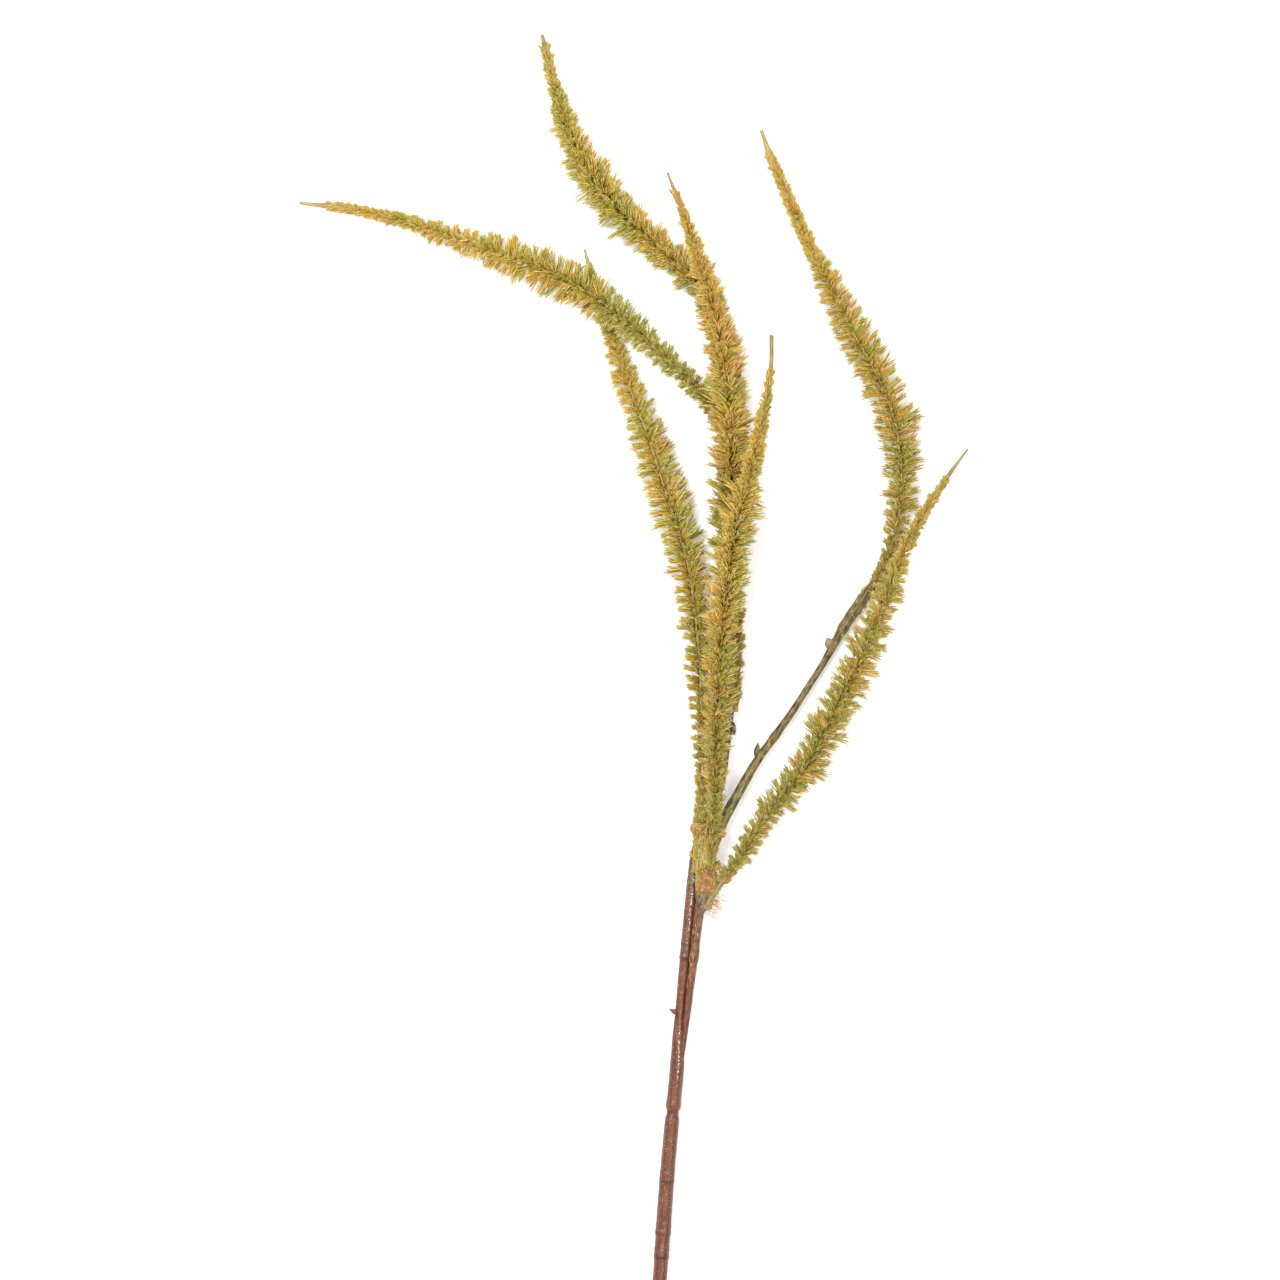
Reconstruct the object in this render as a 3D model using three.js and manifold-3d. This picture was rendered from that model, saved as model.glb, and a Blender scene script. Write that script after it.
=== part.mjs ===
// A picked fern frond lying on a table. A jointed woody stem divides at its crown into a bare side stem
// and seven long, narrow, tapering spikes. Each spike is a wiry rachis inside one soft mass of leaflets.
// Millimetres, +Z up. The stem runs along Y with its cut end towards -Y, and the frond rests on z = 0.
// Stations are written from the crown, and the finished group is moved to the middle of its footprint.

import * as THREE from 'three';
import { mergeVertices } from 'three/addons/utils/BufferGeometryUtils.js';
import Module from 'manifold-3d';

const wasm = await Module();
wasm.setup();

// Driving dimensions.
const LEAF_MASS_SHARE = 0.8; // the leaf mass reaches this share of the way out to the leaflets' points
const RACHIS_RADIUS = 1.1;
const RACHIS_END_RADIUS = 0.5;
const RACHIS_START_SHARE = 0.004; // the rachis stands this far up its spike's line
const RACHIS_END_SHARE = 0.86; // and runs this far, to where it is lost in the young tip
const LEAF_START_SHARE = 0.012; // the first leaflets stand just clear of the rachis's foot
const CLEARANCE = 0.35; // between pieces that touch

// How finely the surfaces are cut.
const SPIKE_SIDES = 8;
const SPIKE_STEPS = 22;
const RACHIS_SIDES = 6;
const RACHIS_STEPS = 16;
const STEM_SIDES = 12;
const STEM_STEP = 12; // along a stem, between its joints
const SHEATH_STEPS = 5;
const BUD_CUTS = [8, 6];
const BRACT_CUTS = [10, 6];
const JOINT_HALF_WIDTH = 1.6; // of the ring that swells or narrows at each joint of the main stem
const JOINT_RINGS = [-2, -1, 0, 1, 2]; // the rings of a joint, in half widths from its middle
const SAME_POINT = 1e-3;

const COLOURS = {
  bark: 0x946b5c,
  greenBark: 0x8a7a42,
  sheath: 0xad8c53,
  bract: 0xb98a45,
  rachis: 0xb9a35a,
  leaflets: 0xb1974e,
};

// Every line is a list of stations [x, y, z, radius] from its base to its end.
const MAIN_STEM = [
  [-24.7, -230, 3.6, 3.6],
  [-21.5, -187, 3.7, 3.6],
  [-18, -137, 4.6, 3.5],
  [-15, -104, 5.4, 3.4],
  [-12.9, -82, 6, 3.6],
  [-12.5, -68, 6.6, 2.9],
  [-11.6, -54, 7.2, 2],
  [-10.4, -40, 7.6, 2],
  [-8.9, -24, 8, 2.1],
  [-6.6, 0, 8.4, 2.2],
  [-5.2, 14, 8.4, 2.2],
  [-3.6, 27, 7.6, 2.2],
  [0, 37, 6.6, 2.2],
  [4.8, 47, 6, 2.2],
  [9, 62, 6, 2.2],
  [12, 82, 6.2, 2.1],
  [14, 100, 5.8, 1.9],
  [16, 130, 5.6, 1.8],
  [18, 165, 5.8, 1.7],
  [19, 194, 6.2, 1.5],
];
const SIDE_STEM = [
  [-10.4, -78, 7.2, 0.8],
  [-9.2, -68, 7.6, 1.7],
  [-7.4, -54, 8.2, 2.1],
  [-6, -40, 8.6, 2.2],
  [-4.2, -24, 8.8, 2.3],
  [-1.6, 0, 9, 2.3],
  [1.2, 13, 9.2, 2.3],
  [5, 28, 9.2, 2.3],
  [10.8, 43, 8.8, 2.3],
  [19.9, 59.5, 7.6, 2.2],
  [28.2, 73.5, 6.6, 2.1],
  [43.4, 94.6, 5.4, 2],
  [58, 117, 4.6, 2],
  [65, 129, 4.2, 2],
  [71, 138.5, 4, 1.7],
];

// Joints of the main stem: how far up it they stand from the cut end, and the radius there as a share
// of the plain stem's. A share under 1 is a pinched joint.
const JOINTS = [
  { along: 54, share: 1.06 },
  { along: 66, share: 1.06 },
  { along: 92, share: 1.04 },
  { along: 126, share: 0.86 },
  { along: 208, share: 1.14 },
];

// Buds: a centre, the radii of its ellipsoid, and its turn about Z.
const MAIN_STEM_BUDS = [
  { at: [15, 88, 6.4], radii: [1.9, 3.2, 2.1], turn: -0.15 },
  { at: [-13.9, -53.5, 7.2], radii: [1.9, 1.2, 1.1], turn: -0.12 },
];
const SIDE_STEM_BUDS = [
  { at: [27.6, 77.4, 6.8], radii: [1.5, 2.8, 1.7], turn: -0.6 },
  { at: [63.2, 131.4, 4.4], radii: [1.9, 2.6, 1.9], turn: -0.6 },
];

// Spikes, from the base to the tip. The last value of a station is how far the leaflets reach there.
const SPIKES = {
  left_spike: [
    [15, 213, 9.6, 2.4],
    [9.5, 238, 10.4, 4],
    [1, 254, 11.6, 5.4],
    [-11.5, 267, 13.4, 6.4],
    [-27, 280.5, 15.6, 7.4],
    [-44, 296, 17.6, 10],
    [-64, 310, 17.4, 11.5],
    [-86.5, 320.5, 14, 10.4],
    [-109, 328.5, 9.4, 8.2],
    [-131.5, 336.5, 5.2, 5.9],
    [-154, 343.6, 3.3, 4],
    [-176.5, 348.6, 2.1, 2.5],
    [-201.5, 351.5, 1, 0.7],
  ],
  upper_left_spike: [
    [20, 211, 8, 2.4],
    [19, 238, 7.6, 4],
    [15, 265, 7, 5.4],
    [9.5, 288, 6.8, 7],
    [-0.5, 309.5, 7.4, 8.4],
    [-17, 324, 7.8, 8.6],
    [-32, 338, 8.2, 9.8],
    [-47.5, 353.5, 8.8, 11],
    [-59.5, 370.5, 7.8, 9],
    [-67.5, 387.5, 6, 7],
    [-72.5, 404, 4.2, 4.4],
    [-77, 420, 2.6, 2.8],
    [-80.5, 435.5, 1.4, 0.7],
  ],
  centre_spike: [
    [16.5, 97, 11, 2.4],
    [16.5, 127, 13.6, 4.5],
    [15, 152, 15.2, 7],
    [13.5, 175, 16.6, 9],
    [13, 197.5, 19.4, 10.4],
    [14, 222.5, 22.4, 11.2],
    [13.5, 245, 24, 11.4],
    [11, 267.5, 23.6, 9.8],
    [7, 290, 22, 8],
    [1.5, 310, 21, 6.5],
    [-4, 327.5, 20.6, 4.6],
    [-9.8, 345, 20.2, 2.7],
    [-17.5, 365, 20, 0.7],
  ],
  right_centre_spike: [
    [3.2, 16, 14, 2.2],
    [5.4, 40, 17, 4],
    [6, 62.5, 21, 5.6],
    [6.8, 87.5, 24.6, 7.6],
    [7.8, 112.5, 27.4, 9],
    [9.2, 135, 29.8, 9.4],
    [11.6, 157.5, 32, 9.8],
    [14.6, 178.5, 33.6, 9.6],
    [19, 198.5, 34.6, 8.6],
    [23.8, 217.5, 34.6, 5.8],
    [28.2, 236.5, 33.6, 4.2],
    [31.9, 255, 32, 3],
    [33.9, 272, 30.6, 1.7],
    [34, 283.5, 30, 0.7],
  ],
  lower_left_spike: [
    [-2.8, 16, 14, 2.2],
    [-1.8, 40, 13.8, 3.2],
    [-0.4, 62.5, 13, 4.2],
    [-0.4, 87.5, 12.2, 6],
    [-1.2, 112.5, 11.6, 7.8],
    [-2.8, 135, 11, 8.4],
    [-5.4, 157.5, 10.4, 9.2],
    [-9.6, 178.5, 9.4, 10.4],
    [-16, 198.5, 8.8, 11],
    [-22.5, 218.5, 8.7, 10.9],
    [-28.2, 237, 8, 9.2],
    [-35.6, 255.5, 6.6, 8],
    [-42.6, 274.5, 5, 5.8],
    [-48.6, 292.5, 3.4, 4],
    [-54, 309.5, 2.2, 2.4],
    [-59, 327.5, 1.4, 0.7],
  ],
  right_spike: [
    [72.5, 141, 3.9, 2.4],
    [79.5, 151, 4, 3],
    [88.5, 164.5, 4.4, 4.2],
    [94.8, 181, 5.2, 6],
    [99, 203, 7, 8.4],
    [98.6, 227.5, 9, 11.2],
    [94, 248.5, 8.9, 11.1],
    [85.5, 268, 8.6, 10.6],
    [75.6, 285.5, 7.8, 9.7],
    [66.8, 303, 6.6, 8],
    [57, 322.5, 4.8, 5.2],
    [47.4, 342.5, 3.4, 4],
    [39.6, 361.5, 2.6, 3.2],
    [33.8, 375, 1.9, 2],
    [29.6, 387.5, 1.2, 0.7],
  ],
  lower_right_spike: [
    [3.6, 3.5, 12, 2.4],
    [11.5, 14, 11, 4],
    [19.5, 25, 11, 5.8],
    [28.4, 40, 11.5, 6.8],
    [40.2, 54.5, 12.4, 8.4],
    [52, 70, 13.8, 10],
    [61.5, 88.5, 15.4, 10.1],
    [71.5, 107.5, 16.8, 10.3],
    [80.8, 127.5, 17.6, 9],
    [88.8, 147, 18, 7.4],
    [95.8, 165, 18, 5.8],
    [102.8, 181.5, 17.4, 4.2],
    [110.2, 195.5, 16.4, 3.2],
    [117.8, 207.5, 15.4, 2.2],
    [125.3, 218.5, 14.6, 1.3],
    [132, 227.5, 14, 0.7],
  ],
};

// The papery sheath that holds the stems and the feet of three spikes together at the crown.
const SHEATH = [
  [-1.8, -7, 10.4, 3.2],
  [-0.6, 3, 11.2, 5],
  [0.6, 14, 11.6, 5.8],
  [1.4, 26, 11.8, 5.6],
  [2, 37, 11.8, 4.8],
];
const BRACT = { at: [1.3, 12, 17.9], radii: [3.9, 6, 0.7], turn: -0.1 };

const UP = new THREE.Vector3(0, 0, 1);

// A smooth line through stations, with its radius at any share of its length.
class Line {
  constructor(stations) {
    this.curve = new THREE.CatmullRomCurve3(stations.map(([x, y, z]) => new THREE.Vector3(x, y, z)));
    this.radii = new THREE.SplineCurve(stations.map(([, , , r], i) => new THREE.Vector2(i, r)));
    this.length = this.curve.getLength();
  }

  radiusAt(share) {
    const t = this.curve.getUtoTmapping(THREE.MathUtils.clamp(share, 0, 1));
    return this.radii.getPoint(t).y;
  }
}

// The shares of a length at which rings stand, from one share to another in equal steps.
function shares(from, to, steps) {
  return Array.from({ length: steps + 1 }, (_, i) => from + ((to - from) * i) / steps);
}

// Bends a lathe that stands on Y, from 0 up to the line's length, so that its axis follows the line.
function bend(lathe, line) {
  const position = lathe.getAttribute('position');
  for (let i = 0; i < position.count; i++) {
    const share = THREE.MathUtils.clamp(position.getY(i) / line.length, 0, 1);
    const along = line.curve.getTangentAt(share);
    const across = along.clone().cross(UP).normalize();
    const over = across.clone().cross(along);
    const point = line.curve.getPointAt(share);
    point.addScaledVector(across, position.getX(i));
    point.addScaledVector(over, position.getZ(i));
    position.setXYZ(i, point.x, point.y, point.z);
  }
  return lathe;
}

// A rod with closed flat ends along a line: rings at the shares, each with the radius that is asked for.
function rod(line, ringShares, radiusAt, sides) {
  const rings = ringShares.map((share) => new THREE.Vector2(radiusAt(share), share * line.length));
  const start = new THREE.Vector2(0, rings[0].y);
  const end = new THREE.Vector2(0, rings[rings.length - 1].y);
  return bend(new THREE.LatheGeometry([start, ...rings, end], sides), line);
}

// A closed geometry as a solid that can be joined and cut.
function solid(geometry) {
  const bare = geometry.clone();
  bare.deleteAttribute('normal');
  bare.deleteAttribute('uv');
  const merged = mergeVertices(bare, SAME_POINT);
  const vertProperties = new Float32Array(merged.getAttribute('position').array);
  const triVerts = new Uint32Array(merged.index.array);
  return new wasm.Manifold(new wasm.Mesh({ numProp: 3, vertProperties, triVerts }));
}

// A solid's largest body as a geometry. A cut can leave slivers, which are dropped.
function geometryOf(manifold) {
  const [largest] = manifold.decompose().sort((a, b) => b.volume() - a.volume());
  const { vertProperties, triVerts } = largest.getMesh();
  const geometry = new THREE.BufferGeometry();
  geometry.setAttribute('position', new THREE.BufferAttribute(new Float32Array(vertProperties), 3));
  geometry.setIndex(new THREE.BufferAttribute(new Uint32Array(triVerts), 1));
  geometry.computeVertexNormals();
  return geometry;
}

// An ellipsoid: a bud on a stem, or the bract at the crown.
function ellipsoid({ at, radii, turn }, cuts) {
  const ball = new THREE.SphereGeometry(1, ...cuts);
  ball.scale(...radii);
  ball.rotateZ(turn);
  ball.translate(...at);
  return ball;
}

function withBuds(stem, buds) {
  return buds.reduce((whole, bud) => whole.add(solid(ellipsoid(bud, BUD_CUTS))), stem);
}

// The main stem: rings one step apart, and five close together at each joint.
function mainStem(grow) {
  const line = new Line(MAIN_STEM);
  const atJoints = JOINTS.flatMap(({ along }) => JOINT_RINGS.map((n) => along + n * JOINT_HALF_WIDTH));
  const clear = (mm) => atJoints.every((ring) => Math.abs(ring - mm) > JOINT_HALF_WIDTH);
  const plain = shares(0, line.length, Math.round(line.length / STEM_STEP)).filter(clear);
  const ringShares = [...plain, ...atJoints].sort((a, b) => a - b).map((mm) => mm / line.length);
  const radiusAt = (share) => {
    const joint = JOINTS.find(({ along }) => Math.abs(along - share * line.length) < JOINT_HALF_WIDTH / 2);
    return line.radiusAt(share) * (joint ? joint.share : 1) + grow;
  };
  return withBuds(solid(rod(line, ringShares, radiusAt, STEM_SIDES)), MAIN_STEM_BUDS);
}

function sideStem(grow) {
  const line = new Line(SIDE_STEM);
  const ringShares = shares(0, 1, Math.round(line.length / STEM_STEP));
  const stem = rod(line, ringShares, (share) => line.radiusAt(share) + grow, STEM_SIDES);
  return withBuds(solid(stem), SIDE_STEM_BUDS);
}

// The rachis: a wire of even thickness that thins towards the tip, where the leaf mass closes over it.
function rachis(line, grow) {
  const radiusAt = (share) =>
    THREE.MathUtils.lerp(RACHIS_RADIUS, RACHIS_END_RADIUS, share / RACHIS_END_SHARE) + grow;
  const longer = grow / line.length;
  const ringShares = shares(RACHIS_START_SHARE - longer, RACHIS_END_SHARE + longer, RACHIS_STEPS);
  return rod(line, ringShares, radiusAt, RACHIS_SIDES);
}

// The leaf mass: a tapering body from the foot of the spike to its point, with no hole in it yet.
function leafBody(line, grow) {
  const radiusAt = (share) => LEAF_MASS_SHARE * line.radiusAt(share) + grow;
  const ringShares = shares(LEAF_START_SHARE - grow / line.length, 1, SPIKE_STEPS);
  return rod(line, ringShares, radiusAt, SPIKE_SIDES);
}

// The sheath, with room in it for the bract.
function sheathBody() {
  const line = new Line(SHEATH);
  const sleeve = solid(rod(line, shares(0, 1, SHEATH_STEPS), (share) => line.radiusAt(share), STEM_SIDES));
  const bractRoom = { ...BRACT, radii: BRACT.radii.map((r) => r + 2 * CLEARANCE) };
  return sleeve.subtract(solid(ellipsoid(bractRoom, BRACT_CUTS)));
}

const frond = new THREE.Group();

function addPiece(name, geometry, colour, roughness) {
  const mesh = new THREE.Mesh(geometry, new THREE.MeshStandardMaterial({ color: colour, roughness }));
  mesh.name = name;
  frond.add(mesh);
}

addPiece('main_stem', geometryOf(mainStem(0)), COLOURS.bark, 0.5);
addPiece('side_stem', geometryOf(sideStem(0).subtract(mainStem(CLEARANCE))), COLOURS.greenBark, 0.6);

let sheath = sheathBody().subtract(mainStem(CLEARANCE)).subtract(sideStem(CLEARANCE));
for (const [name, stations] of Object.entries(SPIKES)) {
  const line = new Line(stations);
  const tunnel = solid(rachis(line, CLEARANCE));
  const leaflets = solid(leafBody(line, 0)).subtract(tunnel);
  addPiece(`${name}_rachis`, geometryOf(solid(rachis(line, 0))), COLOURS.rachis, 0.6);
  addPiece(`${name}_leaflets`, geometryOf(leaflets), COLOURS.leaflets, 0.7);
  sheath = sheath.subtract(solid(leafBody(line, CLEARANCE))).subtract(tunnel);
}
addPiece('crown_sheath', geometryOf(sheath), COLOURS.sheath, 0.7);
addPiece('crown_bract', geometryOf(solid(ellipsoid(BRACT, BRACT_CUTS))), COLOURS.bract, 0.7);

// Moves the origin from the crown to the middle of the footprint, on the surface that the frond rests on.
const box = new THREE.Box3().setFromObject(frond, true);
const middle = box.getCenter(new THREE.Vector3());
frond.position.set(-middle.x, -middle.y, -box.min.z);

export default frond;
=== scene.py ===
"""A picked fern frond on a pale studio floor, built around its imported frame.

A jointed woody stem divides at its crown into a bare side stem and seven spikes. Each spike is a wiry
rachis that ends in a furled tip, with leaflets and fine filaments all round it. Lengths are in metres,
and a size in millimetres or an angle in degrees is turned at once by MM or math.radians.
"""

import math

import bmesh
import bpy
import numpy as np
from mathutils import Matrix, Vector, noise


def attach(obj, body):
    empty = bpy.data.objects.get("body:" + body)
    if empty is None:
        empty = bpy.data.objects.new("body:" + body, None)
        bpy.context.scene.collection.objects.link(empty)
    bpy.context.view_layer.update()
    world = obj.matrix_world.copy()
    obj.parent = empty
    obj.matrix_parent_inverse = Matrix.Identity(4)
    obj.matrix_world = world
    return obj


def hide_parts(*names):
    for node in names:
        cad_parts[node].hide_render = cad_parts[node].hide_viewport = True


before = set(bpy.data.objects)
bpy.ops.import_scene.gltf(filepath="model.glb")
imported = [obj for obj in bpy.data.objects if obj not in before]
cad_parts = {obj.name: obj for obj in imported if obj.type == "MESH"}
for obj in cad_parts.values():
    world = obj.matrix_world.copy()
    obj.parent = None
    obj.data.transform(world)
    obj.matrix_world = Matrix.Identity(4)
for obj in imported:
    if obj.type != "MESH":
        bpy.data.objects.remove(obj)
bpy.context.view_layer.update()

bl_info = {
    "name": "Fern Frond",
    "version": (1, 0, 0),
    "blender": (4, 5, 0),
    "location": "View3D > Sidebar > Frond",
    "description": "Grows the stems, stalks and leaflets of a picked fern frond on its packed frame",
    "category": "Object",
}

MM = 0.001
UP = Vector((0, 0, 1))
LEAF_MASS_SHARE = 0.8  # the CAD leaf mass reaches this share of the way out to the leaflets' points
LEAF_MASS_SIDES = 8
SLIM_REACH = (2 * MM, 3.4 * MM)  # a spike that is slim is full again where its leaflets reach this far
POINT_REACH = 0.35 * MM  # how far leaflets reach at the very end of a spike
FOOT_DEPTH = 1.5 * MM  # how much further back than in CAD a rachis starts
CURL_REACH = 2.6 * MM  # loose leaflets grow only where a spike reaches this far
GREEN_PATCH = 14 * MM  # about how far it is from one greener patch to the next
RUSSET_PATCH = 9 * MM

# The sides of each kind of rod, and the distance between two rings of its mesh.
STEM_SIDES = 28
RACHIS_SIDES, RACHIS_RING = 14, 1.2 * MM
SHEATH_SIDES, SHEATH_RING = 60, 0.6 * MM

LEAFLET_KINDS = 5
CROWN_SEED = 77
FLOOR_HALF_WIDTH = 3

# Where the crown stands in the frame. The stations and buds below are in millimetres from it.
CROWN = np.array([34.558, -102.678, 0.107])

# Stations x, y, z and radius of a stem from its cut end or foot to its top.
MAIN_STEM = (
    (-24.7, -230, 3.6, 3.6), (-21.5, -187, 3.7, 3.6), (-18, -137, 4.6, 3.7), (-15, -104, 5.4, 3.6),
    (-12.9, -82, 6, 3.6), (-12.5, -68, 6.6, 2.9), (-11.6, -54, 7.2, 2.3), (-10.4, -40, 7.6, 2.3),
    (-8.9, -24, 8, 2.4), (-6.6, 0, 8.4, 2.5), (-5.2, 14, 8.4, 2.5), (-3.6, 27, 7.6, 2.3),
    (0, 37, 6.6, 2.2), (4.8, 47, 6, 2.2), (9, 62, 6, 2.2), (12, 82, 6.2, 2.1), (14, 100, 5.8, 1.9),
    (16, 130, 5.6, 1.8), (18, 165, 5.8, 1.7), (19, 194, 6.2, 1.5), (19.4, 204, 7.2, 1.3),
    (20, 214, 8.4, 0.9),
)
SIDE_STEM = (
    (-10.4, -78, 7.2, 0.8), (-9.5, -68, 7.6, 1.4), (-7.9, -54, 8.2, 1.8), (-6.4, -40, 8.6, 2.0),
    (-4.4, -24, 8.8, 2.3), (-1.6, 0, 9, 2.6), (1.2, 13, 9.2, 2.6), (5, 28, 9.2, 2.5),
    (10.8, 43, 8.8, 2.5), (19.9, 59.5, 7.6, 2.4), (28.2, 73.5, 6.6, 2.1), (43.4, 94.6, 5.4, 1.8),
    (58, 117, 4.6, 1.6), (65, 129, 4.3, 2.0), (72, 141, 4.4, 2.5), (77.5, 149.2, 4.6, 2.8),
    (82.5, 156.4, 4.6, 2.6), (88, 163.5, 4.5, 1.2),
)
SHEATH = (
    (-1, -5, 10.4, 0.8), (-0.2, -1, 10.6, 2.6), (0.5, 4, 11, 4), (1.6, 10, 11.4, 5.2),
    (1.8, 17.5, 11.6, 5.2), (0.9, 27.5, 11.8, 4.9), (2.4, 37, 11.8, 5.8), (3, 44, 11.8, 4.2),
    (3.6, 48, 11.8, 1.6),
)

# Joints of the stems: how far up they stand, and how far the stem swells or is pinched there.
JOINTS = (
    (54, 0.09), (66, 0.1), (92, 0.06), (125.2, -0.16), (127.2, -0.16), (204.5, 0.16), (211.5, 0.08),
    (262, 0.1), (300, 0.12),
)
SIDE_JOINTS = ((52, 0.2), (56, 0.1), (172, 0.14), (236, 0.2), (243, 0.12))

# Rings of leaflets round the crown: their place up the sheath, its spread, how many, their length,
# their lean in degrees, and how russet and how green they are.
CROWN_RINGS = (
    (42.0, 1.2, 110, 4.6, 52, 0.85, 0.1), (47, 2.5, 44, 5.0, 35, 0.5, 0.5),
    (23, 1.0, 50, 3.4, 62, 0.5, 0.0), (33, 4, 30, 4.2, 12, 0.5, 0.5),
)

LENS = 200
SENSOR = 36
LOOK_AT = (0.0031, 0.0298, 0.012)  # the camera looks straight down at it


def linear(hex_value):
    """An sRGB hex value as linear red, green and blue."""
    parts = [((hex_value >> shift) & 255) / 255 for shift in (16, 8, 0)]
    return [c / 12.92 if c <= 0.04045 else ((c + 0.055) / 1.055) ** 2.4 for c in parts]


def smooth(low, high, value):
    """0 at low, 1 at high, held beyond both, and an even S between them."""
    t = np.clip((value - low) / (high - low), 0, 1)
    return t * t * (3 - 2 * t)


def bump(middle, width, value):
    return np.exp(-(((value - middle) / width) ** 2))


def unit(vectors):
    return vectors / np.linalg.norm(vectors, axis=-1, keepdims=True)


def wobble(points):
    """Smooth noise from -1 to 1 for each row of points."""
    return np.array([noise.noise(Vector(point)) for point in points])


def ridges(angle, along, count, wave):
    """Noise on a rod's skin: ridges, more of them with a higher count, as long as a wave in millimetres."""
    return wobble(np.stack([count * np.cos(angle), count * np.sin(angle), along / (wave * MM)], axis=1))


def joined(bumps, width, along, shift=0.0):
    """The sum of bumps, given as places in millimetres and heights, at distances along a stem."""
    return sum(height * bump((at + shift) * MM, width * MM, along) for at, height in bumps)


# ---- settings


def length_setting(name, description, default):
    return bpy.props.FloatProperty(name=name, description=description, default=default, min=0, unit="LENGTH")


def light_setting(name, description, default, **unit):
    return bpy.props.FloatProperty(name=name, description=description, default=default, min=0, **unit)


def colour_setting(name, description, hex_value):
    return bpy.props.FloatVectorProperty(
        name=name, description=description, default=linear(hex_value), min=0, max=1, size=3, subtype="COLOR"
    )


class FROND_PG_sizes(bpy.types.PropertyGroup):
    """Sizes of the frond's small parts"""

    leaflet_half_width: length_setting("Leaflet half width", "Half the width of a wide leaflet", 1.3 * MM)
    least_leaflet: length_setting("Least leaflet", "Usual length of the shortest leaflets", 5 * MM)
    filament_width: length_setting("Filament width", "Width of the hairs between the leaflets", 0.3 * MM)
    stem_ring: length_setting("Stem ring", "Distance between two rings of a stem's mesh", 0.8 * MM)
    bract_thickness: length_setting("Bract thickness", "Thickness of the papery bract", 0.3 * MM)


class FROND_PG_colours(bpy.types.PropertyGroup):
    """Main colours of the frond and its floor"""

    gold: colour_setting("Gold leaflet", "The middle of a ripe leaflet", 0xD0AA2C)
    olive: colour_setting("Olive leaflet", "The middle of a green leaflet", 0xB3AA2C)
    russet: colour_setting("Russet leaflet", "The middle of a dried leaflet", 0xD89C38)
    stalk: colour_setting("Stalk", "The pale ridges of a spike's stalk", 0xCAA866)
    bark_dark: colour_setting("Dark bark", "The dark fibres of the main stem", 0x46200F)
    bark_light: colour_setting("Light bark", "The light fibres of the main stem", 0x7E4428)
    side_stem: colour_setting("Side stem", "The light ribs of the side stem", 0x86702E)
    sheath: colour_setting("Sheath", "The light threads of the crown's sheath", 0xB89A48)
    bract: colour_setting("Bract", "The light veins of the papery bract", 0xA07030)
    floor: colour_setting("Floor", "The floor the frond lies on", 0xF6F5F3)


class FROND_PG_studio(bpy.types.PropertyGroup):
    """Lights and camera"""

    sky: light_setting("Sky", "Strength of the even white light", 0.88)
    key: light_setting("Key", "Power of the large light", 38, unit="POWER")
    fill: light_setting("Fill", "Power of the light facing it", 12, unit="POWER")
    view: length_setting("View", "Width of the floor that the camera sees", 0.64)


def settings(kind):
    """The sizes, the colours or the studio settings of the scene."""
    return getattr(bpy.context.scene, f"frond_{kind}")


# ---- lines


class Line:
    """A smooth line through rows of x, y, z and radius, measured by its length."""

    step = 0.5 * MM  # the heading is taken from this far behind to this far ahead

    def __init__(self, rows):
        ends = np.vstack([2 * rows[0] - rows[1], rows, 2 * rows[-1] - rows[-2]])
        dense = [self.between(ends[i : i + 4]) for i in range(len(rows) - 1)]
        self.rows = np.vstack([*dense, rows[-1:]])
        gaps = np.linalg.norm(np.diff(self.rows[:, :3], axis=0), axis=1)
        self.along = np.concatenate([[0], np.cumsum(gaps)])
        self.length = self.along[-1]

    @staticmethod
    def between(four, parts=24):
        """Rows between the second and the third of four rows, on a Catmull-Rom curve."""
        a, b, c, d = four
        t = (np.arange(parts) / parts)[:, None]
        return b + 0.5 * t * (c - a + t * (2 * a - 5 * b + 4 * c - d + t * (3 * (b - c) + d - a)))

    def at(self, distance):
        """Points and radii at distances along the line."""
        columns = [np.interp(distance, self.along, column) for column in self.rows.T]
        return np.stack(columns[:3], axis=-1), columns[3]

    def axes(self, distance):
        """Unit vectors at distances along the line: along it, to its right, and up from both."""
        ahead = self.at(np.minimum(distance + self.step, self.length))[0]
        behind = self.at(np.maximum(distance - self.step, 0))[0]
        forward = unit(ahead - behind)
        right = unit(np.cross(forward, UP))
        return forward, right, np.cross(right, forward)

    def around(self, distance, turns):
        """Points along the line, with its heading and the way out from it at a turn up from its right."""
        forward, right, over = self.axes(distance)
        outward = right * np.cos(turns)[:, None] + over * np.sin(turns)[:, None]
        return self.at(distance)[0], forward, outward


def stem_line(stations):
    rows = np.array(stations, float)
    rows[:, :3] += CROWN
    return Line(rows * MM)


def merged_copy(node):
    """A CAD node's mesh with its loose triangles joined up."""
    bm = bmesh.new()
    bm.from_mesh(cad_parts[node].data)
    bmesh.ops.remove_doubles(bm, verts=bm.verts, dist=0.001 * MM)
    return bm


def leaf_mass_rings(node):
    """The centre and radius of each ring of a leaf mass, from its foot to its point.

    The point is the vertex with the tightest ring of neighbours. From there each ring is one edge
    further on, until the foot, where a ring no longer has its full number of vertices.
    """
    bm = merged_copy(node)
    poles = [v for v in bm.verts if len(v.link_edges) == LEAF_MASS_SIDES]
    point = min(poles, key=lambda v: sum(e.calc_length() for e in v.link_edges))
    seen, ring = {point}, [point]
    rings = [(*point.co, 0)]
    while True:
        ring = list({e.other_vert(v): 0 for v in ring for e in v.link_edges if e.other_vert(v) not in seen})
        if len(ring) != LEAF_MASS_SIDES:
            break
        seen.update(ring)
        centre = sum((v.co for v in ring), Vector()) / len(ring)
        rings.append((*centre, sum((v.co - centre).length for v in ring) / len(ring)))
    bm.free()
    return np.array(rings[::-1])


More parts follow.
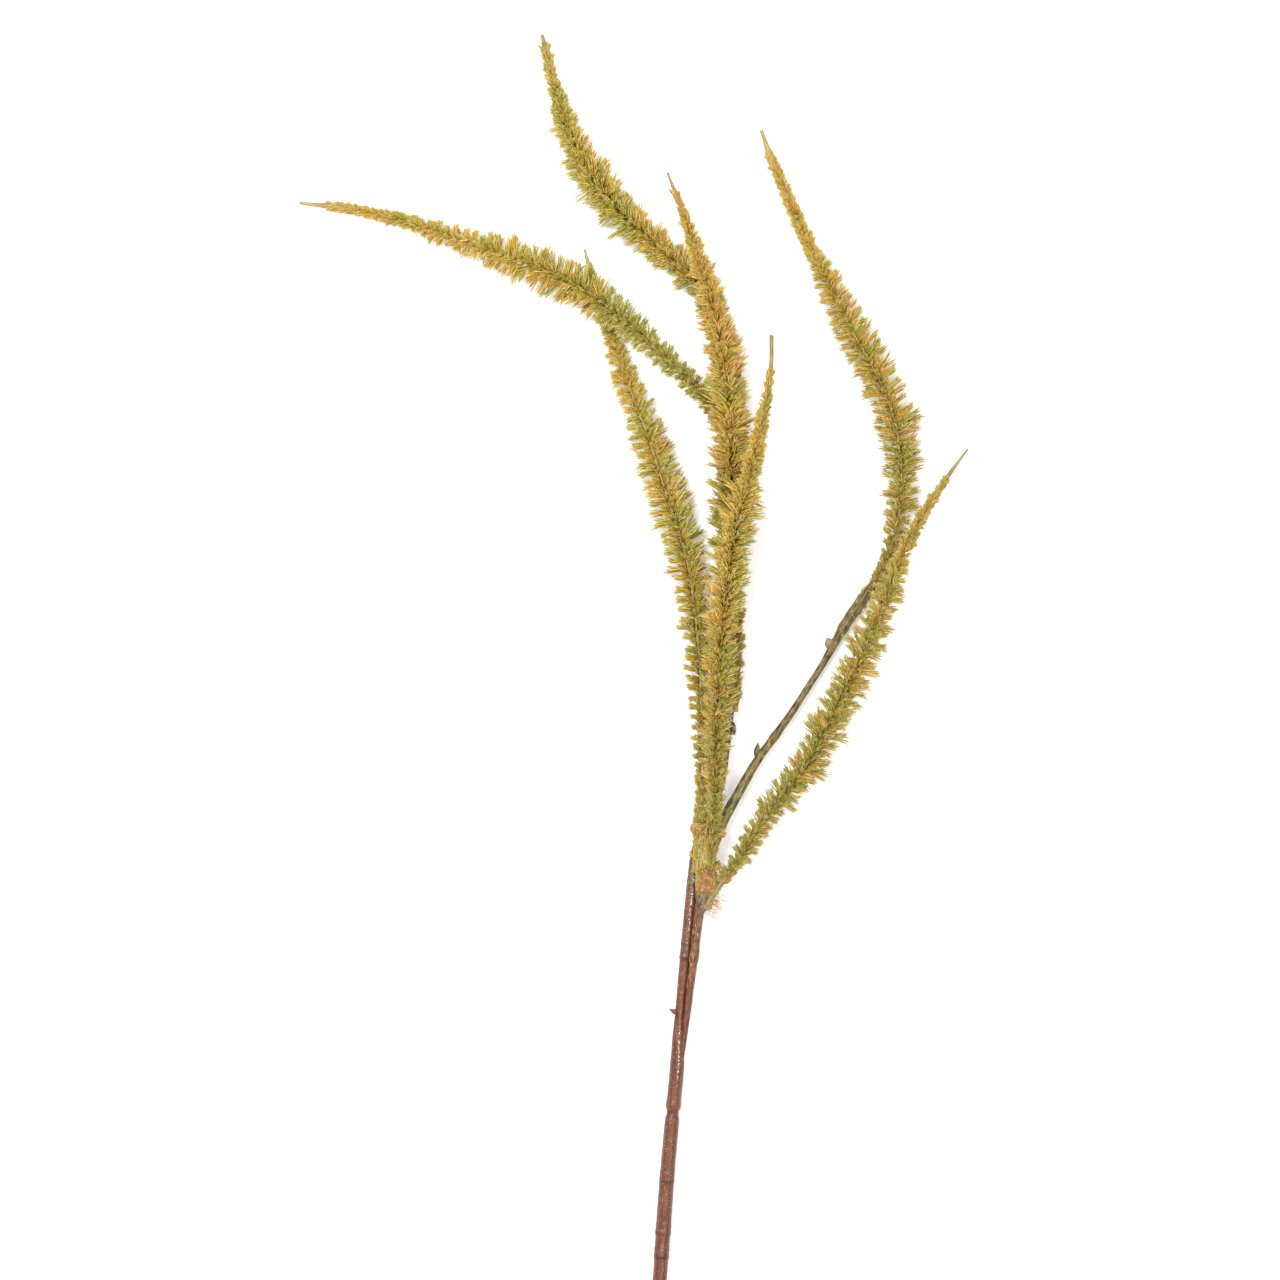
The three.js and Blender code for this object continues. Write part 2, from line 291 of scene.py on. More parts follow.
def foot_of_rachis(spike, start, heading):
    """The lower end of a CAD rachis: the mean of the points furthest back along its heading."""
    bm = merged_copy(f"{spike}_rachis")
    points = np.array([v.co for v in bm.verts])
    bm.free()
    back = (points - start) @ heading
    return points[back < back.min() + 0.8 * MM].mean(axis=0)


def spike_line(spike):
    """A spike's middle line from the foot of its rachis, with how far its leaflets reach as its radius."""
    rows = leaf_mass_rings(f"{spike}_leaflets")
    rows[:, 3] /= LEAF_MASS_SHARE
    slim = HABITS[spike].slim
    slim += (1 - slim) * smooth(*SLIM_REACH, rows[:, 3])
    rows[:, 3] *= np.where(np.arange(len(rows)) > len(rows) / 2, slim, 1)
    rows[-1, 3] = POINT_REACH
    heading = unit(rows[1, :3] - rows[0, :3])
    foot = foot_of_rachis(spike, rows[0, :3], heading) - FOOT_DEPTH * heading
    start = HABITS[spike].start
    if start:
        rows = np.vstack([[*foot, rows[0, 3] * 0.9], rows])
        foot = (CROWN + start) * MM
    return Line(np.vstack([[*foot, rows[0, 3] * 0.8], rows]))


# ---- mesh making


def new_object(name, data):
    holder = bpy.data.objects.new(name, data)
    bpy.context.scene.collection.objects.link(holder)
    return holder


def new_piece(name, bm, material, nodes):
    """Makes a finished piece of a bmesh."""
    mesh = bpy.data.meshes.new(name)
    bm.to_mesh(mesh)
    bm.free()
    settle(mesh, material, nodes)


def settle(mesh, material, nodes, flat=False):
    """Gives a mesh its material, and rides it on the frond's one body in place of CAD nodes."""
    mesh.materials.append(material)
    if not flat:
        mesh.shade_smooth()
    piece = new_object(mesh.name, mesh)
    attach(piece, "root")
    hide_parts(*nodes)


def skin(bm, line, distances, sides, radius_of, mark_of=None):
    """Makes a closed rod round a line: a grid rolled up, whose radius depends on angle and distance.

    It keeps two things for the material: where each point would be if the line were straight, and a
    mark from 0 to 1.
    """
    straight = bm.verts.layers.float_vector.new("straight")
    mark = bm.verts.layers.float.new("mark")
    rows = len(distances) - 1
    verts = bmesh.ops.create_grid(bm, x_segments=sides, y_segments=rows, size=1)["verts"]
    flat = np.array([v.co for v in verts])
    angle = math.pi * (flat[:, 0] + 1)
    along = np.interp((flat[:, 1] + 1) / 2, np.linspace(0, 1, rows + 1), distances)
    radius = radius_of(angle, along)
    centre, _, outward = line.around(along, angle)
    points = centre + outward * radius[:, None]
    unrolled = np.stack([radius * np.cos(angle), along, radius * np.sin(angle)], axis=1)
    marks = mark_of(angle, along) if mark_of else np.zeros(len(along))
    for v, point, place, value in zip(verts, points, unrolled, marks):
        v.co, v[straight], v[mark] = point, place, value
    bmesh.ops.remove_doubles(bm, verts=verts, dist=0.003 * MM)
    bmesh.ops.holes_fill(bm, edges=[e for e in bm.edges if e.is_boundary], sides=0)
    bmesh.ops.recalc_face_normals(bm, faces=bm.faces[:])


def blob(bm, middle, radii, turn, along, tint=0.0):
    """Adds a bud: a ball drawn out along Y, with an uneven skin. All but its middle is in millimetres.

    It is coloured like the stem at a distance along it, with its tint as the mark.
    """
    straight, mark = bm.verts.layers.float_vector["straight"], bm.verts.layers.float["mark"]
    place = Matrix.Translation((Vector(CROWN) + Vector(middle)) * MM)
    matrix = place @ Matrix.Rotation(turn, 4, "Z") @ Matrix.Diagonal((*(r * MM for r in radii), 1))
    verts = bmesh.ops.create_icosphere(bm, subdivisions=3, radius=1)["verts"]
    for v in verts:
        v.co *= 1 + 0.2 * noise.noise(v.co * 1.7)
        v.co.x *= 1 - 0.35 * v.co.y
        v[mark] = tint
        v[straight] = v.co * 2 * MM + Vector((0, along * MM, 0))
    bmesh.ops.transform(bm, matrix=matrix, verts=verts)


def as_template(bm):
    """A small mesh as arrays: its points, and its faces as counts and corners."""
    bmesh.ops.recalc_face_normals(bm, faces=bm.faces[:])
    bm.verts.index_update()
    points = np.array([v.co for v in bm.verts])
    counts = np.array([len(f.verts) for f in bm.faces])
    corners = np.array([v.index for f in bm.faces for v in f.verts])
    bm.free()
    return points, counts, corners


def copies(name, templates):
    """One mesh of many placed copies: each template comes with its points once for each copy."""
    mesh = bpy.data.meshes.new(name)
    points, counts, corners, start = [], [], [], 0
    for placed, count, corner in templates:
        number, size = placed.shape[:2]
        points.append(placed.reshape(-1, 3))
        counts.append(np.tile(count, number))
        offsets = start + size * np.arange(number)
        corners.append((corner[None, :] + offsets[:, None]).ravel())
        start += number * size
    points, counts, corners = (np.concatenate(part) for part in (points, counts, corners))
    mesh.vertices.add(len(points))
    mesh.vertices.foreach_set("co", points.astype(np.float32).ravel())
    mesh.loops.add(len(corners))
    mesh.loops.foreach_set("vertex_index", corners.astype(np.int32))
    mesh.polygons.add(len(counts))
    starts = np.concatenate([[0], np.cumsum(counts)[:-1]])
    mesh.polygons.foreach_set("loop_start", starts.astype(np.int32))
    mesh.update(calc_edges=True)
    mesh.validate()
    return mesh


def write_attribute(mesh, name, vectors):
    """Keeps three numbers for each vertex, for a material to read."""
    layer = mesh.attributes.new(name, "FLOAT_VECTOR", "POINT")
    layer.data.foreach_set("vector", vectors.astype(np.float32).ravel())


# ---- leaflets


STRANDS = 4
# Rings of a strand: share of its length, share of its sideways place, half width.
STRAND_RINGS = ((0.0, 0.45, 0.24), (0.42, 0.8, 0.33), (0.84, 1.02, 0.29), (1.0, 1.12, 0.06))


def strand(bm, side, length, drift, rise):
    """Adds one rib of a leaflet: a closed blade with a ridge on its upper face and a sharp end."""
    turn = Matrix.Rotation(math.radians(90), 4, "X")
    places = []
    for share, spread, half in STRAND_RINGS:
        x = side * 0.8 * spread + drift * share**2
        z = (0.07 * side**2 + rise) * share
        matrix = Matrix.Translation((x, length * share, z)) @ Matrix.Diagonal((half, 1, 0.09 * half, 1))
        places.append(matrix @ turn)
    verts = bmesh.ops.create_circle(bm, segments=3, radius=1, matrix=places[0])["verts"]
    first = edges = list({e for v in verts for e in v.link_edges})
    for before, after in zip(places, places[1:]):
        grown = bmesh.ops.extrude_edge_only(bm, edges=edges)["geom"]
        verts = [g for g in grown if isinstance(g, bmesh.types.BMVert)]
        edges = [g for g in grown if isinstance(g, bmesh.types.BMEdge)]
        bmesh.ops.transform(bm, matrix=after @ before.inverted(), verts=verts)
    bmesh.ops.holes_fill(bm, edges=first + edges, sides=0)


def leaflet(seed):
    """A leaflet, one unit long and two wide, with its foot at the origin and its upper face up.

    Its ribs lie side by side and part at its ragged end. Also gives each point's rib, from -1 to 1.
    """
    rng = np.random.default_rng(seed)
    bm = bmesh.new()
    ribs = []
    for side in np.linspace(-1, 1, STRANDS):
        length = 1 - 0.08 * abs(side) - rng.uniform(0, 0.16)
        strand(bm, side, length, rng.normal(0, 0.12), rng.normal(0, 0.04))
        ribs += [side] * (len(bm.verts) - len(ribs))
    return (*as_template(bm), np.array(ribs))


def filament():
    """A hair, one unit long, which thins from its foot at the origin to its end."""
    bm = bmesh.new()
    strand(bm, 0, 1, 0, 0)
    return as_template(bm)


class Habit:
    """How a spike grows. Lengths come in millimetres and angles in degrees, and are turned at once."""

    lean = (74, 74)  # the left and the right leaflets' lean away from the rachis, where it is full
    side_green = 0.0  # how much greener the right side is
    warm = 0.3  # how many leaflets are russet
    reach = (1, 1)  # how far the leaflets of the left and the right side stand out
    sparse = ((0, 1), (1, 1))  # share up the spike, share of leaflets there
    bare = 1.75  # the tip is bare where leaflets would reach only this far
    blunt = 0.5  # radius of the rounded end of the furled tip
    furl = 1.0  # the greatest radius of the furled tip
    wire = 0.85  # radius of the rachis near its foot
    foot = 0.3  # how much thicker the rachis is at its foot
    start = None  # where the rachis starts, in millimetres from the crown
    dull_tip = 0.8  # how olive the furled tip is
    curls = 0.7  # loose leaflets in the thick of the spike, for each millimetre
    curl_turns = (-0.5, math.pi + 0.5)  # where the loose leaflets stand, in radians
    top = 1.0  # share of the leaflets that hide the rachis from above
    slim = 1.0  # how slim the upper half of the spike is, against the CAD mass
    lumps = 0.3  # how far the spike's outline swells and sinks
    ruffle = 1.0  # how far the leaflets stray from their rows
    light = 1.0  # how far the leaflets lighten up the spike

    def __init__(self, rows, pitch, green, **own):
        self.rows = rows  # rows of leaflets on one side
        self.pitch = pitch  # along the spike, between the whorls
        self.green = green  # how green at the foot, at a third, at two thirds and at the tip
        vars(self).update(own)
        for name in ("pitch", "bare", "blunt", "furl", "wire", "foot"):
            setattr(self, name, getattr(self, name) * MM)
        self.lean = np.radians(self.lean)

    def fullness(self, climb):
        """The share of its leaflets that a spike keeps at shares of the way up it."""
        return np.interp(climb, *zip(*self.sparse))

    def greenness(self, climb):
        """How green leaflets are at shares of the way up the spike."""
        return np.interp(climb, (0, 0.33, 0.66, 1), self.green)


# The rows of one side: the turn up from level in degrees, the share of the reach, and the place in
# the whorl. Level rows share a place, so that gaps open between whorls at the spike's edge.
FLAT_ROWS = (
    (0, 1.16, 0.0), (-16, 1.14, 0.06), (14, 1.1, -0.05), (28, 0.92, 0.02), (-32, 0.54, 0.5),
    (20, 0.54, 0.5), (40, 0.74, 0.3), (44, 0.66, 0.75), (58, 0.52, 0.5), (68, 0.44, 0.0),
    (84, 0.36, 0.3), (-60, 0.8, 0.0), (-86, 0.75, 0.6),
)
BRUSH_ROWS = (
    (0, 1.14, 0.0), (-18, 1.1, 0.06), (18, 1.06, -0.06), (-42, 0.86, 0.5), (36, 0.84, 0.45),
    (52, 0.84, 0.05), (64, 0.8, 0.5), (76, 0.78, 0.8), (88, 0.76, 0.2), (-68, 0.8, 0.1),
    (-88, 0.8, 0.6),
)

HABITS = {
    "left_spike": Habit(
        FLAT_ROWS, 4.6, green=(0.8, 0.6, 0.3, 0.02), side_green=0.12, start=(19, 197, 6.4),
        sparse=((0, 0.5), (0.2, 0.9), (1, 1)), furl=1.6, curls=1.3, dull_tip=0.4,
    ),
    "upper_left_spike": Habit(
        BRUSH_ROWS, 4.2, green=(0.5, 0.44, 0.38, 0.45), lean=(66, 60), side_green=-0.18, warm=0.2,
        bare=1.7, blunt=0.9, furl=1.6, curls=3.8, ruffle=2, lumps=0.15,
    ),
    "centre_spike": Habit(
        BRUSH_ROWS, 4.4, green=(0.6, 0.5, 0.25, 0.1), lean=(64, 64), warm=0.5, slim=0.8, bare=1.3,
        blunt=0.7, furl=1.0, curls=3.4, ruffle=2,
    ),
    "right_centre_spike": Habit(
        BRUSH_ROWS, 4.5, green=(0.75, 0.5, 0.36, 0.45), lean=(62, 62), side_green=0.2, warm=0.36,
        slim=0.4, bare=1.3, blunt=1.1, curls=4.2, ruffle=2, dull_tip=1,
    ),
    "lower_left_spike": Habit(
        FLAT_ROWS, 5.0, green=(0.7, 0.52, 0.42, 0.6), lean=(80, 64), side_green=0.14, top=0.3, slim=0.8,
        bare=1.25, wire=0.95, curls=2.4, curl_turns=(-0.6, 1.1), ruffle=0.5, lumps=0.2, dull_tip=0.1,
    ),
    "right_spike": Habit(
        FLAT_ROWS, 4.8, green=(0.7, 0.45, 0.25, 0.0), lean=(72, 68), warm=0.4, reach=(0.92, 1.08),
        bare=2.1, blunt=0.95, furl=1.95, top=0.35, foot=1.2, sparse=((0, 0.35), (0.05, 0.9), (1, 1)),
        dull_tip=0.3, lumps=0.3, curls=1.4, light=0.8,
    ),
    "lower_right_spike": Habit(
        FLAT_ROWS, 5.0, green=(0.8, 0.62, 0.45, 0.1), lean=(64, 70), slim=0.8, bare=1.5, furl=1.2,
        foot=1.9, start=(1.5, -1.5, 10.4),
        sparse=((0, 0.1), (0.05, 0.12), (0.08, 0.8), (0.2, 1), (1, 1)), lumps=0.35, curls=1.6,
        light=0.4,
    ),
}

# Leaflets that stand apart: the foot, the heading, the length, the half width, how green and how russet.
STRAYS = {
    "left_spike": (((-175, 351, 2.5), -100, 7, 0.9, 0.9, 0.0), ((-172, 352, 3), -85, 6, 0.8, 0.8, 0.1)),
    "upper_left_spike": (((-56.6, 317.6, 16), 110, 10, 1.3, 1.0, 0.0),),
    "centre_spike": (
        ((13, 290, 20), 50, 9, 1.2, 1.0, 0.0), ((12, 293, 20), 20, 9, 1.2, 1.0, 0.0),
        ((13, 296, 19), 75, 8, 1.1, 0.9, 0.1),
    ),
    "right_centre_spike": (
        ((17.5, 156, 20), 50, 9, 1.1, 1.0, 0.0), ((15, 147, 18), 60, 8, 0.9, 1.0, 0.0),
        ((18.5, 107, 20), 15, 8, 1.3, 0.2, 0.9), ((15, 104, 16), 60, 6, 0.8, 0.8, 0.0),
    ),
    "right_spike": (
        ((79, 158, 6), 150, 7, 1.1, 0.8, 0.1), ((80, 156, 6), 110, 6, 1.0, 0.9, 0.0),
        ((70, 137, 6), 70, 8, 0.5, 0.6, 0.2), ((71, 136, 6.5), 50, 8, 0.5, 0.4, 0.2),
    ),
    "lower_right_spike": (
        ((13, 13, 11), -2, 8, 0.8, 0.2, 0.7), ((10, 9.5, 11), 3, 8, 0.7, 0.2, 0.5),
        ((13, 20, 12), 120, 6, 1.1, 0.7, 0.4), ((17, 28, 12), 110, 6, 1.2, 0.7, 0.4),
        ((19, 29, 12), -5, 10, 1.5, 0.2, 0.8), ((25, 40, 13), 125, 7, 1.3, 0.8, 0.2),
        ((28, 43, 13), 0, 10, 1.6, 0.1, 0.8), ((34, 54, 13), 5, 9, 1.5, 0.1, 0.9),
    ),
}
RACHIS_SHARE = 0.7  # a leaflet's foot is this far out to the rachis's skin


def grown_places(habit, line, rng):
    """Where each leaflet stands on a spike: distance, turn round it, side and share of its reach."""
    whorls = int(line.length / habit.pitch) + 1
    places = []
    for sign, start in ((1, 0.0), (-1, 0.5)):
        at = habit.pitch * (np.arange(whorls) + start) + rng.normal(0, 0.1 * habit.pitch, whorls)
        lumps = wobble(np.stack([at / (6 * MM), np.full(whorls, 9.3 * sign), np.zeros(whorls)], axis=1))
        full = rng.normal(1, 0.06, whorls) * (1 + habit.lumps * lumps)
        for turn, share, place in habit.rows:
            along = at + habit.pitch * (place + rng.normal(0, 0.05, whorls))
            turns = np.radians(turn + rng.normal(0, 6 * habit.ruffle, whorls))
            turns = np.where(sign > 0, turns, math.pi - turns)
            round_share = share + (1 - share) * smooth(7 * MM, 3 * MM, line.at(along)[1])
            shares = round_share * full * rng.normal(1, 0.06 * habit.ruffle, whorls)
            shares = shares * habit.reach[int(sign > 0)]
            kept = rng.random(whorls) < (habit.top if turn > 60 else 1)
            places.append(np.stack([along, turns, np.full(whorls, sign), shares])[:, kept])
    along, turns, sides, shares = np.concatenate(places, axis=1)
    reach = line.at(along)[1]
    kept = (along > 2 * MM) & (along < line.length) & (reach > habit.bare)
    kept &= rng.random(len(along)) < habit.fullness(along / line.length)
    return along[kept], turns[kept], sides[kept], shares[kept], reach[kept]


def rachis_radius(habit, line, along):
    """The rachis thins towards the spike's end, where it swells again into the furled tip."""
    share = along / line.length
    reach = line.at(along)[1]
    wire = habit.wire - 0.35 * MM * share + habit.foot * np.exp(-along / (14 * MM))
    furled = np.clip(0.92 * reach, habit.blunt, np.maximum(habit.furl, habit.blunt))
    tip = smooth(3.2 * MM, 2.0 * MM, reach) * smooth(0.5, 0.6, share)
    round_end = np.sqrt(np.clip(1 - (1 - (line.length - along) / habit.blunt).clip(0, 0.97) ** 2, 0, 1))
    return (wire * (1 - tip) + furled * tip) * round_end


def leaflet_frames(foot, forward, outward, lean, roll):
    """For leaflets at foot points: their own across, ahead and face vectors."""
    ahead = unit(forward * np.cos(lean)[:, None] + outward * np.sin(lean)[:, None])
    across = unit(forward - ahead * np.sum(forward * ahead, axis=1, keepdims=True))
    face = np.cross(across, ahead)
    flip = np.where(face[:, 2] < 0, -1.0, 1.0)[:, None]
    across, face = across * flip, face * flip
    turned = across * np.cos(roll)[:, None] + face * np.sin(roll)[:, None]
    return foot, turned, ahead, np.cross(turned, ahead)


def placed(points, frames, length, width, curl, sway):
    """A template's points once for each copy, bent along its length."""
    foot, across, ahead, face = (part[:, None, :] for part in frames)
    width, length, curl, sway = (part[:, None] for part in (width, length, curl, sway))
    bend = points[None, :, 1] ** 2
    x = points[None, :, 0] * width + sway * length * bend
    y = points[None, :, 1] * length
    z = (points[None, :, 2] - curl * bend) * length
    return above_floor(foot + across * x[..., None] + ahead * y[..., None] + face * z[..., None])


def above_floor(points, floor=0.12 * MM, soft=1.2 * MM):
    """Bends what would pass into the floor so that it lies on it."""
    z = points[..., 2]
    pressed = floor + (soft - floor) * np.exp(np.minimum(z - soft, 0) / (soft - floor))
    points[..., 2] = np.where(z < soft, pressed, z)
    return points


class Foliage:
    """Gathers placed leaflets and filaments, and what their material reads, into one mesh."""

    def __init__(self, rng):
        self.rng = rng
        self.parts, self.leaf, self.place = [], [], []

    def add(self, template, frames, length, width, curl, sway, tint, place):
        points, counts, corners, *ribs = template
        ribs = ribs[0] if ribs else np.zeros(len(points))
        number = len(length)
        self.parts.append((placed(points, frames, length, width, curl, sway), counts, corners))
        out = np.tile(np.clip(points[:, 1], 0, 1), number)
        self.leaf.append(np.stack([out, np.tile(ribs, number), np.repeat(tint, len(points))], axis=1))
        self.place.append(np.repeat(place, len(points), axis=0))

    def add_leaflets(self, frames, length, width, place):
        """Adds leaflets of every kind, with their small differences."""
        rng, number = self.rng, len(length)
        kind = rng.integers(0, len(LEAFLETS), number)
        curl, sway = rng.uniform(-0.05, 0.34, number), rng.normal(0, 0.13, number)
        values = (length, width, curl, sway, rng.random(number))
        for index, template in enumerate(LEAFLETS):
            own = kind == index
            chosen = [part[own] for part in frames]
            self.add(template, chosen, *(value[own] for value in values), place[own])

    def add_filaments(self, frames, length, place):
        rng, number = self.rng, len(length)
        width = np.full(number, settings("sizes").filament_width)
        curl, sway = rng.uniform(-0.3, 0.4, number), rng.normal(0, 0.3, number)
        self.add(FILAMENT, frames, length, width, curl, sway, rng.uniform(0, 0.5, number), place)

    def finish(self, name, material, nodes):
        mesh = copies(name, self.parts)
        write_attribute(mesh, "leaf", np.concatenate(self.leaf))
        write_attribute(mesh, "place", np.concatenate(self.place))
        settle(mesh, material, nodes, flat=True)


def grow_spike(spike, seed, material):
    """All the leaflets and filaments of one spike."""
    rng = np.random.default_rng(seed)
    line, habit, sizes = spike_line(spike), HABITS[spike], settings("sizes")
    along, turns, sides, shares, reach = grown_places(habit, line, rng)
    number = len(along)
    foot, forward, outward = stand(habit, line, along, turns)
    out = np.maximum(reach * shares - RACHIS_SHARE * rachis_radius(habit, line, along), 0.5 * MM)
    full_lean = np.where(sides > 0, habit.lean[1], habit.lean[0])
    length = np.maximum(out / np.sin(full_lean), sizes.least_leaflet * rng.uniform(0.8, 1.2, number))
    lean = np.arcsin(np.clip(out / length, 0, 1)) + rng.normal(0, 0.08 * habit.ruffle, number)
    width = sizes.leaflet_half_width * rng.uniform(0.7, 1.1, number) * smooth(0, 8 * MM, length)
    frames = leaflet_frames(foot, forward, outward, lean, rng.normal(0, 0.5, number))
    climb = along / line.length
    green = habit.greenness(climb) + habit.side_green * sides
    patches = wobble(foot / GREEN_PATCH + seed)
    green = np.clip(green + 0.7 * patches + rng.normal(0, 0.22, number), 0, 1)
    warm = np.clip(habit.warm + 0.6 * wobble(foot / RUSSET_PATCH - seed) + rng.normal(0, 0.25, number), 0, 1)
    foliage = Foliage(rng)
    foliage.add_leaflets(frames, length, width, np.stack([climb * habit.light, green, warm], axis=1))
    grow_curls(foliage, line, habit, seed)
    grow_filaments(foliage, line, habit)
    for stray in STRAYS.get(spike, ()):
        grow_stray(foliage, *stray)
    foliage.finish(f"{spike}_foliage", material, [f"{spike}_leaflets"])


def stand(habit, line, along, turns):
    """Foot points on a spike's rachis, with its heading and the way out from it there."""
    centre, forward, outward = line.around(along, turns)
    return centre + outward * (RACHIS_SHARE * rachis_radius(habit, line, along))[:, None], forward, outward


def grow_curls(foliage, line, habit, seed):
    """Loose curled leaflets in the thick of a spike, which turn every way and hide its rachis."""
    rng = foliage.rng
    along = rng.uniform(0.03, 0.97, int(habit.curls * line.length / MM)) * line.length
    reach = line.at(along)[1]
    kept = (reach > CURL_REACH) & (rng.random(len(along)) < habit.fullness(along / line.length))
    along, reach = along[kept], reach[kept]
    number = len(along)
    turns = rng.uniform(*habit.curl_turns, number)
    centre, forward, outward = line.around(along, turns)
    foot = centre + outward * (reach * rng.uniform(0.1, 0.45, number))[:, None]
    swing = rng.normal(0, 0.7, number)[:, None]
    aim = unit(outward * np.cos(swing) + np.cross(forward, outward) * np.sin(swing))
    frames = leaflet_frames(foot, forward, aim, rng.uniform(0.5, 1.25, number), rng.normal(0, 1.1, number))
    length = np.minimum(rng.uniform(3.4, 5.2, number) * MM, 0.62 * reach + 1 * MM)
    width = settings("sizes").leaflet_half_width * rng.uniform(0.5, 0.8, number)
    green = habit.greenness(along / line.length) + 0.1
    green = np.clip(green + 0.7 * wobble(foot / GREEN_PATCH + seed) + rng.normal(0, 0.2, number), 0, 1)
    warm = np.clip(habit.warm + rng.normal(0, 0.3, number), 0, 1)
    climb = habit.light * along / line.length
    foliage.add_leaflets(frames, length, width, np.stack([climb, green, warm], axis=1))


def grow_stray(foliage, place, heading, length, width, green, warm):
    """One leaflet on its own: its foot in millimetres from the crown, and its heading in degrees."""
    turn = math.radians(heading)
    ahead = np.array([[math.cos(turn), math.sin(turn), 0.15]])
    level = np.zeros(1)
    frames = leaflet_frames((CROWN + place)[None] * MM, ahead, np.array([[0, 0, 1.0]]), level, level)
    size = np.array([[length], [width]]) * MM
    foliage.add_leaflets(frames, *size, np.array([[0.4, green, warm]]))


def grow_filaments(foliage, line, habit):
    """Fine hairs between the leaflets, two for each millimetre of spike."""
    rng = foliage.rng
    along = rng.uniform(0.02, 0.95, int(2 * line.length / MM)) * line.length
    reach = line.at(along)[1]
    along, reach = along[reach > habit.bare], reach[reach > habit.bare]
    number = len(along)
    turns = rng.uniform(-math.pi / 2, 1.5 * math.pi, number)
    foot, forward, outward = stand(habit, line, along, turns)
    lean = rng.normal(math.radians(60), 0.25, number)
    frames = leaflet_frames(foot, forward, outward, lean, rng.uniform(-3, 3, number))
    place = np.stack([along / line.length, np.full(number, 0.7), np.zeros(number)], axis=1)
    foliage.add_filaments(frames, reach * rng.uniform(0.7, 1.02, number), place)


# ---- materials


def add(tree, kind, inputs=None, **settings):
    """Adds a shader node. An input is a value, or the socket that feeds it."""
    node = tree.nodes.new(kind)
    for name, value in settings.items():
        setattr(node, name, value)
    for name, value in (inputs or {}).items():
        if isinstance(value, bpy.types.NodeSocket):
            tree.links.new(value, node.inputs[name])
        else:
            node.inputs[name].default_value = value
    return node


def colour(value):
    """A hex value or a colour setting as four linear numbers. A socket stays what it is."""
    if isinstance(value, bpy.types.NodeSocket):
        return value
    return (*(linear(value) if isinstance(value, int) else value), 1)


def mix(tree, factor, first, second, blend="MIX"):
    inputs = {0: factor, 6: colour(first), 7: colour(second)}
    return add(tree, "ShaderNodeMix", inputs, data_type="RGBA", blend_type=blend).outputs[2]


def ramp(tree, value, low, high, bottom=0.0, top=1.0):
    inputs = {"Value": value, 1: low, 2: high, 3: bottom, 4: top}
    return add(tree, "ShaderNodeMapRange", inputs, interpolation_type="SMOOTHSTEP").outputs[0]


def reckon(tree, operation, *values):
    """A sum done with sockets and values, as a socket."""
    return add(tree, "ShaderNodeMath", dict(enumerate(values)), operation=operation).outputs[0]


def two_tones(tree, value, dark, light, spread=0.15):
    """One colour where a noise is low and another where it is high."""
    return mix(tree, ramp(tree, value, 0.5 - spread, 0.5 + spread), dark, light)


def layered(tree, body, *layers):
    """Lays colours over a body: each comes in as its value goes from low to high, up to its share."""
    for value, low, high, share, over in layers:
        body = mix(tree, ramp(tree, value, low, high, 0, share), body, over)
    return body


def attribute(tree, name, output="Vector"):
    return add(tree, "ShaderNodeAttribute", attribute_name=name).outputs[output]


def numbers_of(tree, vector):
    return add(tree, "ShaderNodeSeparateXYZ", {0: vector}).outputs


def mottle(tree, place, size, detail=3.0, stretch=(1, 1, 1)):
    """Noise with spots of one size in millimetres, drawn out along an axis by a stretch under 1."""
    spread = add(tree, "ShaderNodeMapping", {"Vector": place, "Scale": stretch}).outputs[0]
    inputs = {"Vector": spread, "Scale": 1 / (size * MM), "Detail": detail}
    return add(tree, "ShaderNodeTexNoise", inputs).outputs[0]


def sideways(tree, straight):
    """How far round to either side of a rod a point lies: 0 on its top, 1 at its widest."""
    flat = add(tree, "ShaderNodeVectorMath", {0: straight, 1: (1, 0, 1)}, operation="MULTIPLY").outputs[0]
    level = add(tree, "ShaderNodeVectorMath", {0: flat}, operation="NORMALIZE").outputs[0]
    return reckon(tree, "ABSOLUTE", numbers_of(tree, level)[0])


def new_material(name, roughness):
    """A material with its node tree and its principled shader."""
    material = bpy.data.materials.new(name)
    material.use_nodes = True
    shader = material.node_tree.nodes["Principled BSDF"]
    shader.inputs["Roughness"].default_value = roughness
    return material, material.node_tree, shader


def finished(made, body, grain=None, depth=0.0):
    """Gives a new material its colour, and a grain raised by a depth in millimetres."""
    material, tree, shader = made
    tree.links.new(body, shader.inputs["Base Color"])
    if grain is not None:
        raised = add(tree, "ShaderNodeBump", {"Height": grain, "Distance": depth * MM, "Strength": 0.6})
        tree.links.new(raised.outputs[0], shader.inputs["Normal"])
    return material


def three_tones(tree, out, foot, middle, end):
    """A leaflet's colour from its foot to its end."""
    inner = mix(tree, ramp(tree, out, 0.05, 0.5), foot, middle)
    return mix(tree, ramp(tree, out, 0.6, 1.0), inner, end)


